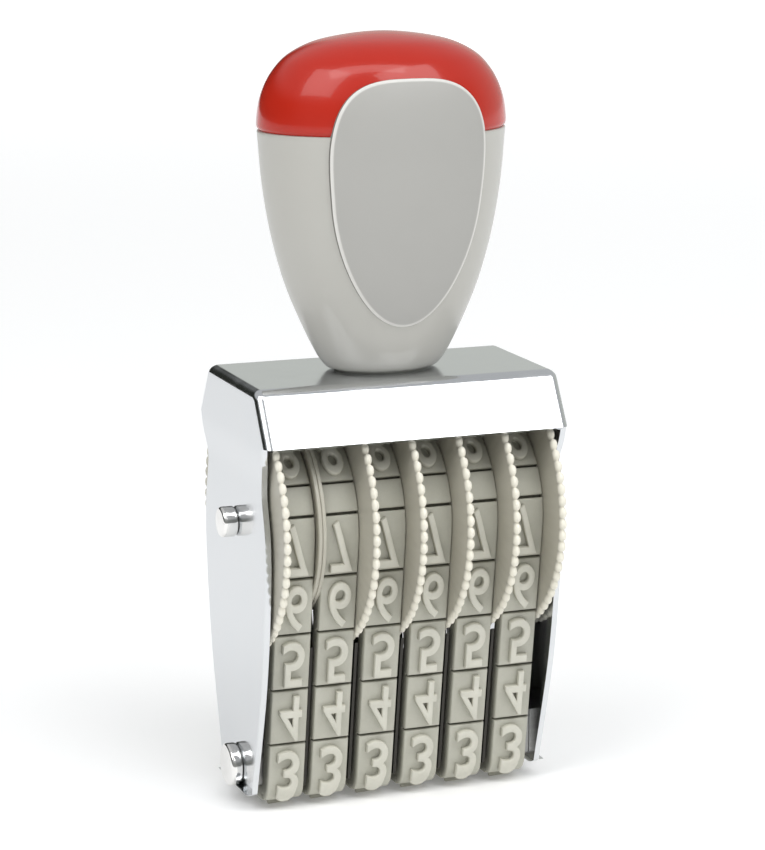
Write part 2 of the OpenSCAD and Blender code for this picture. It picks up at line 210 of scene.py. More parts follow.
def pick(kind, wanted):
    """Selects, in edit mode, just the vertices, edges or faces that a test wants."""
    bpy.ops.mesh.select_mode(type=kind)
    bpy.ops.mesh.select_all(action="DESELECT")
    mesh = bpy.context.edit_object.data
    shape = bmesh.from_edit_mesh(mesh)
    for item in {"VERT": shape.verts, "EDGE": shape.edges, "FACE": shape.faces}[kind]:
        if wanted(item):
            item.select_set(True)
    shape.select_flush_mode()
    bmesh.update_edit_mesh(mesh)


def apply_all(piece):
    """Applies a piece's modifiers, in their order."""
    deselect()
    piece.select_set(True)
    bpy.context.view_layer.objects.active = piece
    for modifier in list(piece.modifiers):
        bpy.ops.object.modifier_apply(modifier=modifier.name)


def settle(piece, name, smooth_angle=35):
    """Names a piece, puts its place into its mesh, and smooths what isn't an edge."""
    apply_all(piece)
    bpy.ops.object.transform_apply(location=True, rotation=True, scale=True)
    piece.name = name
    piece.data.name = name
    bpy.ops.object.shade_smooth_by_angle(angle=radians(smooth_angle))
    return piece


def through_points(points, steps):
    """A smooth curve through points, from the second to the last but one."""
    line = []
    for a, b, c, d in zip(points, points[1:], points[2:], points[3:]):
        a, b, c, d = Vector(a), Vector(b), Vector(c), Vector(d)
        for k in range(steps):
            t = k / steps
            line.append((2 * b + (c - a) * t + (2 * a - 5 * b + 4 * c - d) * t ** 2
                         + (3 * b - a - 3 * c + d) * t ** 3) / 2)
    return line + [Vector(points[-2])]


shell_low, shell_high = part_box("frame_shell")
half_width = shell_high.x
frame_height = shell_high.z
plate_foot = shell_low.z
sheet = 0.8 * mm
fold = 1.3 * mm
valance_drop = 7.2 * mm
valance_lean = radians(32.2)
hood_half = shell_high.y
hood_bottom = frame_height - valance_drop
top_reach = 0.2 * mm
top_half = hood_half - valance_drop * tan(valance_lean) + top_reach
flare = 0.45 * mm
flare_start = hood_bottom - 6 * mm
flare_rise = 6 * mm
axle_height = (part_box("wheel_axle")[0].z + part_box("wheel_axle")[1].z) / 2
rod_height = (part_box("bridge_rod")[0].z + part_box("bridge_rod")[1].z) / 2
pin_hole = 1.53 * mm
waist_half = 11.9 * mm
plate_half = 13.3 * mm
foot_half = 7 * mm
hair = 0.01 * mm

# One edge of a side plate, as its distance from the middle and its height, from the hood
# past the waist to the foot.
plate_line = through_points([
    (hood_half - fold, hood_bottom + 3 * mm),
    (hood_half - fold, hood_bottom),
    (hood_half - 1.75 * mm, hood_bottom - 2.6 * mm),
    (waist_half, hood_bottom - 6.4 * mm),
    (plate_half, axle_height),
    (plate_half - 0.1 * mm, axle_height - 8 * mm),
    ((4 * plate_half + 2 * foot_half) / 6, axle_height - 21 * mm),
    (foot_half, plate_foot + 2.6 * mm),
    (foot_half - 0.7 * mm, plate_foot + 0.7 * mm),
    (foot_half - 2.6 * mm, plate_foot),
    (foot_half - 4 * mm, plate_foot)], 5)


def on_hood_bottom(edge):
    return all(corner.co.z < hood_bottom + hair for corner in edge.verts)


def on_side(edge):
    return all(abs(corner.co.x) > half_width - hair for corner in edge.verts)


deselect()
bpy.ops.mesh.primitive_cube_add(size=1, location=(0, 0, frame_height - valance_drop / 2),
                                scale=(2 * half_width, 2 * hood_half, valance_drop))
shell = bpy.context.object
bpy.ops.object.transform_apply(location=True, rotation=True, scale=True)
bpy.ops.object.mode_set(mode="EDIT")
pick("FACE", lambda face: face.normal.z > 0.9)
bpy.ops.transform.resize(value=(1, top_half / hood_half, 1), center_override=(0, 0, frame_height))
pick("FACE", lambda face: face.normal.z < -0.9)
bpy.ops.mesh.delete(type="FACE")
pick("EDGE", lambda edge: not on_hood_bottom(edge))
bpy.ops.mesh.bevel(offset=fold, segments=6, affect="EDGES", clamp_overlap=True)
pick("EDGE", lambda edge: on_side(edge) and on_hood_bottom(edge))
for before, after in zip(plate_line, plate_line[1:]):
    bpy.ops.mesh.extrude_region_move(
        TRANSFORM_OT_translate={"value": (0, 0, after.y - before.y)})
    bpy.ops.transform.resize(value=(1, after.x / before.x, 1), center_override=(0, 0, after.y))
bpy.ops.object.mode_set(mode="OBJECT")
for corner in shell.data.vertices:
    share = min(max((corner.co.z - flare_start) / flare_rise, 0), 1)
    corner.co.x *= 1 + flare / half_width * share * share * (3 - 2 * share)
thickness = shell.modifiers.new("sheet", "SOLIDIFY")
thickness.thickness = sheet
thickness.offset = -1
thickness.use_even_offset = True
edges = shell.modifiers.new("edges", "BEVEL")
edges.width = 0.14 * mm
edges.segments = 2
edges.limit_method = "ANGLE"
edges.angle_limit = radians(60)
apply_all(shell)

for height in (axle_height, rod_height):
    deselect()
    bpy.ops.mesh.primitive_cylinder_add(vertices=48, radius=pin_hole, depth=4 * half_width,
                                        location=(0, 0, height), rotation=(0, pi / 2, 0))
    punch = bpy.context.object
    hole = shell.modifiers.new("hole", "BOOLEAN")
    hole.operation = "DIFFERENCE"
    hole.object = punch
    apply_all(shell)
    bpy.data.objects.remove(punch)

# The flat sheet mirrors as a flat right up to each fold.
settle(shell, "folded_frame")
flatten = shell.modifiers.new("flatten", "WEIGHTED_NORMAL")
flatten.keep_sharp = True
flatten.weight = 100
apply_all(shell)

# Bright chrome over pressed steel: a faint ripple from the press, and fine wipe marks.
chrome, bench, shader = finish_named("chromed_sheet", Metallic=1)
spot = bench.add("ShaderNodeTexCoord", output=3)
haze = bench.add("ShaderNodeTexNoise", {}, {"Vector": spot, "Scale": 180, "Detail": 4})
grain = bench.add("ShaderNodeTexNoise", {}, {"Vector": spot, "Scale": 2600, "Detail": 2})
ripple = bench.add("ShaderNodeTexNoise", {}, {"Vector": spot, "Scale": 45, "Detail": 1})
bench.plug(shader.inputs["Base Color"],
           bench.blended(haze, (0.64, 0.66, 0.68, 1), (0.7, 0.71, 0.72, 1)))
bench.plug(shader.inputs["Roughness"], bench.between(haze, 0.3, 0.75, 0.09, 0.2) + grain * 0.03)
press_marks = bench.add("ShaderNodeBump", {},
                        {"Height": ripple, "Strength": 0.12, "Distance": 0.3 * mm})
bench.plug(shader.inputs["Normal"], press_marks)
shell.data.materials.append(chrome)
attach(shell, "stamp")
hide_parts("frame_shell")


# The axle and the bridge rod: turned steel pins, bright plated, each with a round head
# outside the left plate and a second head pressed on to the right end.
head_edge = 0.45 * mm
plate_shank = 1.5 * mm
axle_shank = 2 * mm
shank_half = half_width - sheet - 0.05 * mm


def draw_line(points):
    """Draws a line through points by extruding one vertex, and stays in edit mode."""
    deselect()
    bpy.ops.mesh.primitive_plane_add(size=mm)
    bpy.ops.object.mode_set(mode="EDIT")
    bpy.ops.mesh.select_mode(type="VERT")
    bpy.ops.mesh.select_all(action="SELECT")
    bpy.ops.mesh.merge(type="CENTER")
    bpy.ops.transform.translate(value=points[0])
    for before, after in zip(points, points[1:]):
        step = Vector(after) - Vector(before)
        bpy.ops.mesh.extrude_vertices_move(TRANSFORM_OT_translate={"value": step})
    return bpy.context.edit_object


def close_up():
    """Merges the doubles of a spun or wrapped shape and turns its faces outwards."""
    bpy.ops.mesh.select_all(action="SELECT")
    bpy.ops.mesh.remove_doubles(threshold=0.002 * mm)
    bpy.ops.mesh.normals_make_consistent(inside=False)
    bpy.ops.object.mode_set(mode="OBJECT")


def turned(profile, axis, centre, steps):
    """A turned piece: a closed profile spun about an axis."""
    piece = draw_line(profile)
    bpy.ops.mesh.select_all(action="SELECT")
    bpy.ops.mesh.spin(steps=steps, angle=2 * pi, center=centre, axis=axis)
    close_up()
    return piece


def rounded_disc(left, right, radius, edge, corner_steps=4):
    """The profile, as (x, radius), of a disc or pin with rounded rims."""
    bend = [k * pi / 2 / corner_steps for k in range(corner_steps + 1)]
    outer = [(left + edge - edge * cos(a), radius - edge + edge * sin(a)) for a in bend]
    outer += [(right - edge + edge * sin(a), radius - edge + edge * cos(a)) for a in bend]
    return [(left, 0)] + outer + [(right, 0)]


def pin_along_x(name, profile, height, steps=72):
    """Turns a profile of (x, radius) about a level line across the stamp."""
    points = [(x, 0, height + radius) for x, radius in profile]
    return settle(turned(points, (1, 0, 0), (0, 0, height), steps), name)


def headed_pin(name, end_name, node, end_node, height, inner_shank):
    """A pin with its own head on the left, and the head that is pressed on its right end."""
    low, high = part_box(node)
    end_low, end_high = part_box(end_node)
    head = (high.z - low.z) / 2
    end_head = (end_high.z - end_low.z) / 2
    profile = rounded_disc(low.x, -half_width, head, head_edge)[:-1]
    profile += [(-shank_half, plate_shank), (-shank_half, inner_shank),
                (shank_half, inner_shank), (shank_half, plate_shank),
                (high.x, plate_shank), (high.x, 0)]
    pin = pin_along_x(name, profile, height)
    cap = rounded_disc(half_width, end_high.x, end_head, head_edge)
    cap[:1] = [(high.x, 0), (high.x, plate_shank), (half_width, plate_shank)]
    return pin, pin_along_x(end_name, cap, height)


axle, axle_head = headed_pin("axle_pin", "axle_pressed_head", "wheel_axle", "axle_end_head",
                             axle_height, axle_shank)
rod, rod_head = headed_pin("bridge_pin", "bridge_pressed_head", "bridge_rod", "rod_end_head",
                           rod_height, plate_shank)

plated, bench, shader = finish_named("plated_pin", Metallic=1)
spot = bench.add("ShaderNodeTexCoord", output=3)
stretched = bench.add("ShaderNodeMapping", {}, {"Vector": spot, "Scale": (3200, 220, 220)})
turning = bench.add("ShaderNodeTexNoise", {}, {"Vector": stretched, "Scale": 1, "Detail": 2})
dulling = bench.add("ShaderNodeTexNoise", {}, {"Vector": spot, "Scale": 500, "Detail": 3})
bench.plug(shader.inputs["Base Color"],
           bench.blended(dulling, (0.72, 0.71, 0.69, 1), (0.93, 0.92, 0.9, 1)))
bench.plug(shader.inputs["Roughness"], bench.between(dulling, 0.3, 0.7, 0.07, 0.17))
lathe_marks = bench.add("ShaderNodeBump", {},
                        {"Height": turning, "Strength": 0.1, "Distance": 0.05 * mm})
bench.plug(shader.inputs["Normal"], lathe_marks)
for piece, node in ((axle, "wheel_axle"), (axle_head, "axle_end_head"),
                    (rod, "bridge_rod"), (rod_head, "rod_end_head")):
    piece.data.materials.append(plated)
    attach(piece, "stamp")
    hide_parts(node)


# Plain steel inside: the bar that the bands run over, two washers beside the outer wheels and
# the screw that holds the handle. They stay as drawn, in mill-finished steel.
steel, bench, shader = finish_named("plain_steel", Metallic=1)
spot = bench.add("ShaderNodeTexCoord", output=3)
drawn = bench.add("ShaderNodeMapping", {}, {"Vector": spot, "Scale": (120, 1800, 1800)})
streaks = bench.add("ShaderNodeTexNoise", {}, {"Vector": drawn, "Scale": 1, "Detail": 3})
bench.plug(shader.inputs["Base Color"],
           bench.blended(streaks, (0.33, 0.33, 0.33, 1), (0.58, 0.57, 0.55, 1)))
bench.plug(shader.inputs["Roughness"], bench.between(streaks, 0.25, 0.75, 0.28, 0.5))
mill_marks = bench.add("ShaderNodeBump", {},
                       {"Height": streaks, "Strength": 0.2, "Distance": 0.05 * mm})
bench.plug(shader.inputs["Normal"], mill_marks)


def coated(node, material):
    """Puts a finish on a CAD node that is shown as it is."""
    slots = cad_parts[node].material_slots
    for place in slots:
        place.material = material
    if not slots:
        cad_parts[node].data.materials.append(material)


for node in ("bridge_bar", "axle_washer_left", "axle_washer_right", "handle_screw"):
    coated(node, steel)


# The partitions: five plates of thin steel sheet that straddle the bar and keep the bands apart.
# They are made nearly black, as painted shade in the gaps between the pale bands.
shade_sheet_finish, bench, shader = finish_named("painted_shade_sheet", Metallic=1)
spot = bench.add("ShaderNodeTexCoord", output=3)
bloom = bench.add("ShaderNodeTexNoise", {}, {"Vector": spot, "Scale": 300, "Detail": 3})
bench.plug(shader.inputs["Base Color"],
           bench.blended(bloom, (0.035, 0.035, 0.032, 1), (0.11, 0.105, 0.095, 1)))
bench.plug(shader.inputs["Roughness"], bench.between(bloom, 0.3, 0.7, 0.4, 0.6))
for number in range(1, 6):
    coated(f"partition_{number}", shade_sheet_finish)


# The handle's threaded insert: turned brass, pressed into the grip's boss. The screw from
# below runs into it.
brass, bench, shader = finish_named("insert_brass", Metallic=1)
spot = bench.add("ShaderNodeTexCoord", output=3)
tarnish = bench.add("ShaderNodeTexNoise", {}, {"Vector": spot, "Scale": 700, "Detail": 3})
bench.plug(shader.inputs["Base Color"],
           bench.blended(tarnish, (0.55, 0.38, 0.13, 1), (0.78, 0.58, 0.24, 1)))
bench.plug(shader.inputs["Roughness"], bench.between(tarnish, 0.3, 0.7, 0.2, 0.4))
coated("handle_insert", brass)


# The six thumb wheels: moulded plastic, each in one piece with a hub that its band sits on,
# a thin smooth flange on one side, and on the other a wide rim set with a row of beads.
# The first wheel is the other way round, so two smooth flanges meet beside it.
wheel_low, wheel_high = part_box("wheel_2")
wheel_width = wheel_high.x - wheel_low.x
wheel_count = 6
wheel_turn = 37
bore_radius = 2.05 * mm
hub_radius = 9.7 * mm
hub_draft = 0.12 * mm
flange = 0.3 * mm
flange_outer = -0.06 * mm
flange_radius = 13.6 * mm
flange_step = 0.2 * mm
lip_rise = 0.2 * mm
lip_depth = 0.45 * mm
lip_slope = 0.5 * mm
edge_drop = 0.1 * mm
edge_round = 0.08 * mm
rim = 0.8 * mm
rim_radius = (wheel_high.z - wheel_low.z) / 2
rim_foot = rim_radius - 1.15 * mm
bead_count = 68
cuts_per_bead = 4
bead_depth = 0.95 * mm
bead_half = 0.53 * mm
bead_middle = wheel_width - rim / 2
bead_arc = [radians(a) for a in (-75, -45, -15, 15, 45, 75)]
bead_profile = [(bead_middle + bead_half * sin(a), rim_radius - bead_depth * (1 - cos(a)))
                for a in bead_arc]

wheel_profile = [
    (0, bore_radius), (0, hub_radius), (flange_outer, hub_radius + flange_step),
    (flange_outer, flange_radius - edge_drop), (flange_outer + edge_round, flange_radius),
    (flange + lip_rise - edge_round, flange_radius),
    (flange + lip_rise, flange_radius - edge_drop),
    (flange + lip_rise, flange_radius - lip_depth),
    (flange, flange_radius - lip_depth - lip_slope),
    (flange + hub_draft, hub_radius), (wheel_width - rim - hub_draft, hub_radius),
    (wheel_width - rim, rim_foot - edge_drop), *bead_profile,
    (wheel_width, rim_foot - edge_drop), (wheel_width, bore_radius), (0, bore_radius)]
first_wheel = turned([(x, 0, axle_height + radius) for x, radius in wheel_profile],
                     (1, 0, 0), (0, 0, axle_height), bead_count * cuts_per_bead)


def cut_number(point):
    """Which cut of its bead a point of the rim lies on, from 0 at the crest."""
    share = degrees(atan2(point.y, point.z - axle_height)) / 360
    return round(share * bead_count * cuts_per_bead) % cuts_per_bead


# The rim is turned smooth, and the beads come from drawing its cuts in between them.
bpy.ops.object.mode_set(mode="EDIT")
beads_from = rim_foot + 0.2 * mm
for cuts, sink, narrowing in (((1, 3), 0.12 * mm, 0.93), ((2,), 0.6 * mm, 0.62)):
    pick("VERT", lambda corner: hypot(corner.co.y, corner.co.z - axle_height) > beads_from
         and cut_number(corner.co) in cuts)
    factor = 1 - sink / rim_radius
    bpy.ops.transform.resize(value=(1, factor, factor), center_override=(0, 0, axle_height))
    bpy.ops.transform.resize(value=(narrowing, 1, 1),
                             center_override=(bead_middle, 0, axle_height))
bpy.ops.object.mode_set(mode="OBJECT")
settle(first_wheel, "thumb_wheel", 50)

moulded, bench, shader = finish_named("wheel_plastic", Specular_IOR_Level=0.45)
spot = bench.add("ShaderNodeTexCoord", output=3)
flow = bench.add("ShaderNodeTexNoise", {}, {"Vector": spot, "Scale": 120, "Detail": 3})
speck = bench.add("ShaderNodeTexNoise", {}, {"Vector": spot, "Scale": 2400, "Detail": 2})
from_axle = bench.add("ShaderNodeVectorMath", {"operation": "MULTIPLY_ADD"},
                      {0: spot, 1: (0, 1, 1), 2: (0, 0, -axle_height)})
reach = bench.add("ShaderNodeVectorMath", {"operation": "LENGTH"}, {0: from_axle}, 1)
body = bench.blended(flow, paint(176, 173, 160), paint(196, 192, 179))
# Painted light: the beaded rim is made paler from its foot out towards the crests of the beads,
# where the light catches them.
bead_painted_light = bench.between(reach, rim_foot - 0.1 * mm, rim_radius - 0.35 * mm)
bench.plug(shader.inputs["Base Color"], bench.blended(bead_painted_light, body, paint(236, 232, 218)))
bench.plug(shader.inputs["Roughness"], bench.between(flow, 0.3, 0.7, 0.34, 0.46))
skin = bench.add("ShaderNodeBump", {},
                 {"Height": speck, "Strength": 0.12, "Distance": 0.04 * mm})
bench.plug(shader.inputs["Normal"], skin)
first_wheel.data.materials.append(moulded)


def copied(piece, name):
    """A copy of a piece, with a mesh of its own."""
    twin = piece.copy()
    twin.data = piece.data.copy()
    twin.name = name
    scene.collection.objects.link(twin)
    return twin


first_wheel.name = "thumb_wheel_1_moulding"
wheels = [first_wheel] + [copied(first_wheel, f"thumb_wheel_{number}_moulding")
                          for number in range(2, wheel_count + 1)]
for number, wheel in enumerate(wheels, 1):
    left_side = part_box(f"wheel_{number}")[0].x
    deselect()
    wheel.select_set(True)
    bpy.context.view_layer.objects.active = wheel
    bpy.ops.object.mode_set(mode="EDIT")
    bpy.ops.mesh.select_all(action="SELECT")
    if number == 1:
        bpy.ops.transform.resize(value=(-1, 1, 1), center_override=(wheel_width / 2, 0, 0))
        bpy.ops.mesh.normals_make_consistent(inside=False)
    bpy.ops.transform.rotate(value=radians(number * wheel_turn), orient_axis="X",
                             center_override=(0, 0, axle_height))
    bpy.ops.transform.translate(value=(left_side, 0, 0))
    bpy.ops.object.mode_set(mode="OBJECT")
    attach(wheel, f"thumb_wheel_{number}")
    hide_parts(f"wheel_{number}")


# The six bands: endless rubber loops with raised blocks, each block with a numeral as a
# mirror image. A band is moulded flat here, x across it, y along it and z its height, and
# then laid round its path: flat under the bar, up in front, over the wheel and down again.
band_low, band_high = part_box("band_2")
block_width = band_high.x - band_low.x
block_draft = 0.3 * mm
block_edge = 0.16 * mm
block_top = 2.1 * mm
loop_thickness = 1.1 * mm
seat_radius = 10 * mm
bar_flat_half = 3.7 * mm
bar_corner = 0.9 * mm
groove = 0.35 * mm
cell_count = 14
short_cell = 3.8 * mm
short_after = 6
numeral_top = 3 * mm
numeral_width = 3.2 * mm
narrow_one = 0.62
numeral_length = 6.7 * mm
numeral_sunk = 0.3 * mm
numerals = {0: 2, 1: 3, 2: 4, 3: 5, 4: 6, 5: 7, 6: 8, 7: 9, 12: 0, 13: 1}

corner_height = numeral_top + bar_corner
centre_rise = axle_height - corner_height
centre_distance = hypot(bar_flat_half, centre_rise)
run_lean = asin((seat_radius - bar_corner) / centre_distance) - atan(bar_flat_half / centre_rise)
run_length = sqrt(centre_distance ** 2 - (seat_radius - bar_corner) ** 2)
neutral = loop_thickness / 2
run_start = bar_flat_half + (pi / 2 - run_lean) * (bar_corner + neutral)
run_end = run_start + run_length
loop_length = 2 * run_end + (pi + 2 * run_lean) * (seat_radius + neutral)
cell = (loop_length - short_cell) / cell_count


def laid(across, along, height):
    """Where a point of the flat band comes to lie on the loop's path."""
    rear = along > loop_length / 2
    length = loop_length - along if rear else along
    if length < bar_flat_half:
        lean, start, run = -pi / 2, (-length, numeral_top), 0
    elif length < run_start:
        lean = (length - bar_flat_half) / (bar_corner + neutral) - pi / 2
        start, run = (-bar_flat_half, corner_height), bar_corner
    elif length < run_end:
        lean = -run_lean
        travel = length - run_start
        start = (-bar_flat_half + travel * sin(lean), corner_height + travel * cos(lean))
        run = bar_corner
    else:
        lean = -run_lean + (length - run_end) / (seat_radius + neutral)
        start, run = (0, axle_height), seat_radius
    y = start[0] - (run + height) * cos(lean)
    z = start[1] + (run + height) * sin(lean)
    return Vector((across, -y if rear else y, z))


def cell_middle(number):
    return number * cell + (0 if number < short_after else short_cell)


def middle_of(face):
    return sum((corner.co for corner in face.verts), Vector()) / len(face.verts)


def on_end(point):
    """Whether a point is at an end of the flat band, where the loop closes."""
    return point.y < hair or point.y > loop_length - hair


def on_block_top(edge):
    return all(corner.co.z > block_top - hair for corner in edge.verts)


def sliced(lengths):
    """Cuts the flat band across at each length, without parting it."""
    for length in lengths:
        bpy.ops.mesh.select_all(action="SELECT")
        bpy.ops.mesh.bisect(plane_co=(0, length, 0), plane_no=(0, 1, 0))


seams = [cell_middle(number) + cell / 2 for number in range(cell_count)]
seams.append(cell_middle(short_after) - cell / 2)

deselect()
bpy.ops.mesh.primitive_cube_add(size=1, location=(0, loop_length / 2, loop_thickness / 2),
                                scale=(block_width, loop_length, loop_thickness))
band = bpy.context.object
bpy.ops.object.transform_apply(location=True, rotation=True, scale=True)
bpy.ops.object.mode_set(mode="EDIT")
sliced([seam + edge * groove / 2 for seam in seams for edge in (-1, 1)])
pick("FACE", lambda face: face.normal.z > 0.9
     and all(abs(middle_of(face).y - seam) > groove for seam in seams))
bpy.ops.mesh.extrude_region_move(
    TRANSFORM_OT_translate={"value": (0, 0, block_top - loop_thickness)})
bpy.ops.transform.resize(value=(1 - block_draft / block_width, 1, 1),
                         center_override=(0, 0, block_top))
pick("EDGE", lambda edge: on_block_top(edge)
     and not all(on_end(corner.co) for corner in edge.verts))
bpy.ops.mesh.bevel(offset=block_edge, segments=2, affect="EDGES")
bpy.ops.object.mode_set(mode="OBJECT")

letters = []
for number, figure in numerals.items():
    deselect()
    bpy.ops.object.text_add()
    letter = bpy.context.object
    letter.data.body = str(figure)
    letter.data.offset = -0.018
    letter.data.extrude = 0.05
    letter.data.bevel_depth = 0.035
    letter.data.bevel_resolution = 1
    letter.data.resolution_u = 5
    bpy.ops.object.convert(target="MESH")
    letter = bpy.context.object
    xs, ys, zs = zip(*(tuple(corner.co) for corner in letter.data.vertices))
    bpy.ops.object.mode_set(mode="EDIT")
    bpy.ops.mesh.select_all(action="SELECT")
    bpy.ops.mesh.remove_doubles(threshold=0.0005)
    bpy.ops.transform.translate(
        value=(-(min(xs) + max(xs)) / 2, -(min(ys) + max(ys)) / 2, -max(zs)))
    width = numeral_width * (narrow_one if figure == 1 else 1)
    rise = numeral_top - block_top + numeral_sunk
    bpy.ops.transform.resize(value=(width / (max(xs) - min(xs)),
                                    -numeral_length / (max(ys) - min(ys)),
                                    rise / (max(zs) - min(zs))), center_override=(0, 0, 0))
    bpy.ops.transform.translate(value=(0, cell_middle(number) if number else 0, numeral_top))
    bpy.ops.mesh.normals_make_consistent(inside=False)
    bpy.ops.object.mode_set(mode="OBJECT")
    letters.append(letter)

# The first cell lies half at each end of the flat band, so its numeral is there twice.
second_end = copied(letters[0], "second_end")
for corner in second_end.data.vertices:
    corner.co.y += loop_length
letters.append(second_end)
deselect()
for letter in letters:
    letter.select_set(True)
bpy.context.view_layer.objects.active = letters[0]
bpy.ops.object.join()
joined_letters = bpy.context.object
for end, outward in ((0, -1), (loop_length, 1)):
    bpy.ops.object.mode_set(mode="EDIT")
    bpy.ops.mesh.select_all(action="SELECT")
    bpy.ops.mesh.bisect(plane_co=(0, end, 0), plane_no=(0, outward, 0),
                        clear_outer=True, use_fill=True)
    bpy.ops.object.mode_set(mode="OBJECT")
union = band.modifiers.new("numerals", "BOOLEAN")
union.operation = "UNION"
union.solver = "EXACT"
union.use_self = True
union.object = joined_letters
apply_all(band)
bpy.data.objects.remove(joined_letters)

# The flat band gets its cuts where it will bend, loses its two end faces and is laid round.
bend_steps = 5
bend = run_start - bar_flat_half
corner_cuts = [bar_flat_half + k * bend / bend_steps for k in range(bend_steps + 1)]
wheel_steps = 46
wrap = loop_length - 2 * run_end
wheel_cuts = [run_end + k * wrap / wheel_steps for k in range(wheel_steps + 1)]
bpy.ops.object.mode_set(mode="EDIT")
sliced(corner_cuts + wheel_cuts + [loop_length - cut for cut in corner_cuts])
pick("FACE", lambda face: abs(face.normal.y) > 0.99 and on_end(middle_of(face)))
bpy.ops.mesh.delete(type="FACE")
bpy.ops.object.mode_set(mode="OBJECT")
relief = band.data.attributes.new("relief", "FLOAT", "POINT")
for corner in band.data.vertices:
    relief.data[corner.index].value = corner.co.z / numeral_top
    corner.co = laid(*corner.co)
bpy.ops.object.mode_set(mode="EDIT")
close_up()
settle(band, "number_band", 38)

# Pale rubber with random patches and pale specks. Painted shade by height darkens the grooves and
# a ring at the foot of each numeral, and painted light makes the numerals paler up to their faces.
rubber, bench, shader = finish_named("band_rubber", Specular_IOR_Level=0.35)
spot = bench.add("ShaderNodeTexCoord", output=3)
patch = bench.add("ShaderNodeTexNoise", {},
                  {"Vector": spot, "Scale": 260, "Detail": 5, "Roughness": 0.6})
speck = bench.add("ShaderNodeTexNoise", {}, {"Vector": spot, "Scale": 3200, "Detail": 3})
height = bench.add("ShaderNodeAttribute", {"attribute_name": "relief"}, {}, 2)
# Painted light and shade by height on the band: dark in the grooves and at each numeral's foot,
# paler on the numerals.
relief_light_and_shade = bench.add("ShaderNodeValToRGB", {"stops": [
    (0, paint(84, 83, 74)), (0.45, paint(96, 95, 85)), (0.64, paint(180, 179, 166)),
    (0.7, paint(192, 191, 179)), (0.74, paint(140, 139, 126)), (0.86, paint(198, 196, 183)),
    (0.97, paint(222, 220, 208))]}, {"Fac": height})
shaded_band_colour = bench.blended(patch * 0.5, relief_light_and_shade, paint(150, 149, 136))
bench.plug(shader.inputs["Base Color"], bench.blended(speck * 0.25, shaded_band_colour, paint(206, 204, 192)))
bench.plug(shader.inputs["Roughness"], bench.between(patch, 0.3, 0.7, 0.5, 0.68))
pores = bench.add("ShaderNodeBump", {},
                  {"Height": speck, "Strength": 0.3, "Distance": 0.06 * mm})
bench.plug(shader.inputs["Normal"], pores)
band.data.materials.append(rubber)

band.name = "number_band_1"
bands = [band] + [copied(band, f"number_band_{number}") for number in range(2, wheel_count + 1)]
for number, piece in enumerate(bands, 1):
    low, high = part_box(f"band_{number}")
    for corner in piece.data.vertices:
        corner.co.x += (low.x + high.x) / 2
    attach(piece, "stamp")
    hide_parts(f"band_{number}")


# The grip: a hollow moulding in pale grey plastic, round at the neck and swelling to an egg
# shape, flatter from front to back. A screw from below holds it down on the frame.
cap_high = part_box("handle_cap")[1]
handle_height = cap_high.z - frame_height
grip_half_width = cap_high.x
flatness = cap_high.y / cap_high.x
neck_half = 7.5 * mm
insert_half = 3.25 * mm
joint = 33 * mm
wall = 2 * mm
seam_edge = 0.22 * mm
seam_clear = 0.6 * mm

# The handle's outline, as shares of its half width and its height, from the neck over the
# widest place to the crown. The first and last points only guide the ends of the curve.
handle_line = through_points([
    (0.35, -0.04), (neck_half / grip_half_width, 0), (0.526, 0.045), (0.652, 0.139),
    (0.789, 0.265), (0.893, 0.407), (0.96, 0.554), (0.992, 0.69), (1, 0.75), (0.966, 0.82),
    (0.875, 0.887), (0.724, 0.941), (0.46, 0.98), (0, 1), (-0.46, 0.98)], 6)
handle_line = [(max(point.x, 0) * grip_half_width, point.y * handle_height)
               for point in handle_line]


def half_at(height):
    """The handle's half width at a height over the top plate."""
    for (wide, low), (next_wide, high) in zip(handle_line, handle_line[1:]):
        if low <= height <= high:
            return wide + (next_wide - wide) * (height - low) / (high - low)
    return 0


def moulded_round(name, profile, steps=144):
    """Spins a profile of (half width, height) about the handle's axis and flattens it."""
    points = [(wide, 0, frame_height + high) for wide, high in profile]
    piece = turned(points, (0, 0, 1), (0, 0, 0), steps)
    bpy.ops.object.mode_set(mode="EDIT")
    bpy.ops.mesh.select_all(action="SELECT")
    bpy.ops.transform.resize(value=(1, flatness, 1), center_override=(0, 0, 0))
    bpy.ops.object.mode_set(mode="OBJECT")
    return settle(piece, name, 40)


joint_half = half_at(joint)
outside = [point for point in handle_line if 0.8 * mm < point[1] < joint - seam_clear]
inside = [(wide - wall, high) for wide, high in handle_line if wall < high < joint]
neck_step = [(neck_half - 0.8 * mm, 0), (neck_half - 0.7 * mm, 0.25 * mm),
             (neck_half - 0.2 * mm, 0.28 * mm), (half_at(0.5 * mm) - 0.02 * mm, 0.5 * mm)]
grip_seam = [(joint_half - 0.01 * mm, joint - seam_edge),
             (joint_half - 0.08 * mm, joint - 0.06 * mm), (joint_half - 0.25 * mm, joint)]
grip_profile = [
    (insert_half, 0), *neck_step, *outside, *grip_seam, (joint_half - wall, joint),
    *reversed(inside), (inside[0][0], wall), (insert_half, wall), (insert_half, 0)]
grip = moulded_round("grip_moulding", grip_profile)

grip_grey, bench, shader = finish_named("grip_grey", Coat_Weight=0.3, Coat_Roughness=0.1)
spot = bench.add("ShaderNodeTexCoord", output=3)
flow = bench.add("ShaderNodeTexNoise", {}, {"Vector": spot, "Scale": 60, "Detail": 2})
orange_peel = bench.add("ShaderNodeTexNoise", {}, {"Vector": spot, "Scale": 900, "Detail": 2})
bench.plug(shader.inputs["Base Color"],
           bench.blended(flow, paint(177, 175, 168), paint(184, 183, 177)))
bench.plug(shader.inputs["Roughness"], orange_peel * 0.05 + 0.31)
mould_skin = bench.add("ShaderNodeBump", {},
                       {"Height": orange_peel, "Strength": 0.05, "Distance": 0.1 * mm})
bench.plug(shader.inputs["Normal"], mould_skin)
grip.data.materials.append(grip_grey)
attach(grip, "stamp")
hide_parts("handle_body")


